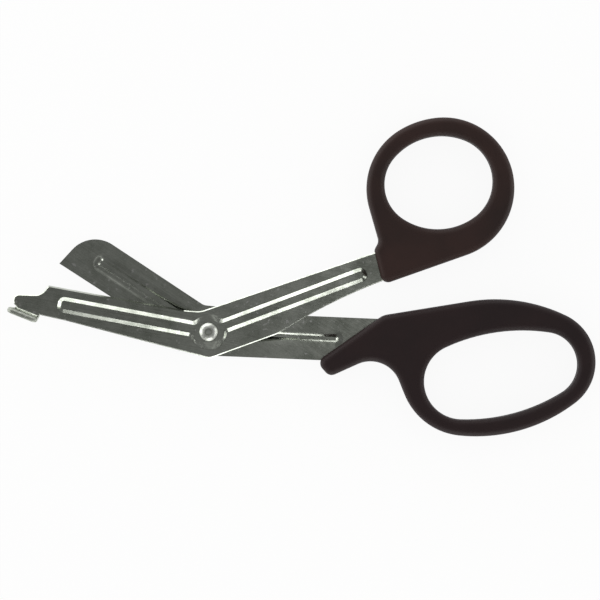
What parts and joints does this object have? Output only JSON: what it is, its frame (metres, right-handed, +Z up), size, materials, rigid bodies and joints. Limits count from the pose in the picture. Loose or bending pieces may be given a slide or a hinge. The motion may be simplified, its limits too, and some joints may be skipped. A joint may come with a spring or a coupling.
{
  "type": "bandage scissors",
  "caption": "Angled bandage scissors with beaded sheet steel blades, a flat probe foot at the tip and moulded finger rings, for cutting dressings, tape and clothing away from skin",
  "frame": {"origin": "middle of the footprint, at the height of the handles' undersides, with the scissors lying flat and open as pictured", "axes": "+X runs along the length from the blade tips to the rings, +Y towards the thumb ring, +Z up out of the flat side with the guard blade and its probe foot"},
  "size_m": [0.1894, 0.1028, 0.011],
  "materials": {
    "blade_steel": "pressed stainless sheet, fine satin polish, bright on edges and bead walls",
    "rivet_steel": "plated steel, polished by rolling over",
    "handle_plastic": "injection moulded dark brown-black plastic, soft gloss"
  },
  "bodies": {
    "finger_half": {"plain_blade": "blade_steel", "finger_handle": "handle_plastic", "pivot_rivet": "rivet_steel"},
    "thumb_half": {"guard_blade": "blade_steel", "thumb_handle": "handle_plastic"}
  },
  "joints": [
    {"name": "pivot", "type": "hinge", "parent": "finger_half", "child": "thumb_half", "pos_m": [-0.02998, -0.01774, 0.005], "axis": [0, 0, 1], "range_deg": [-9.5, 155]}
  ]
}
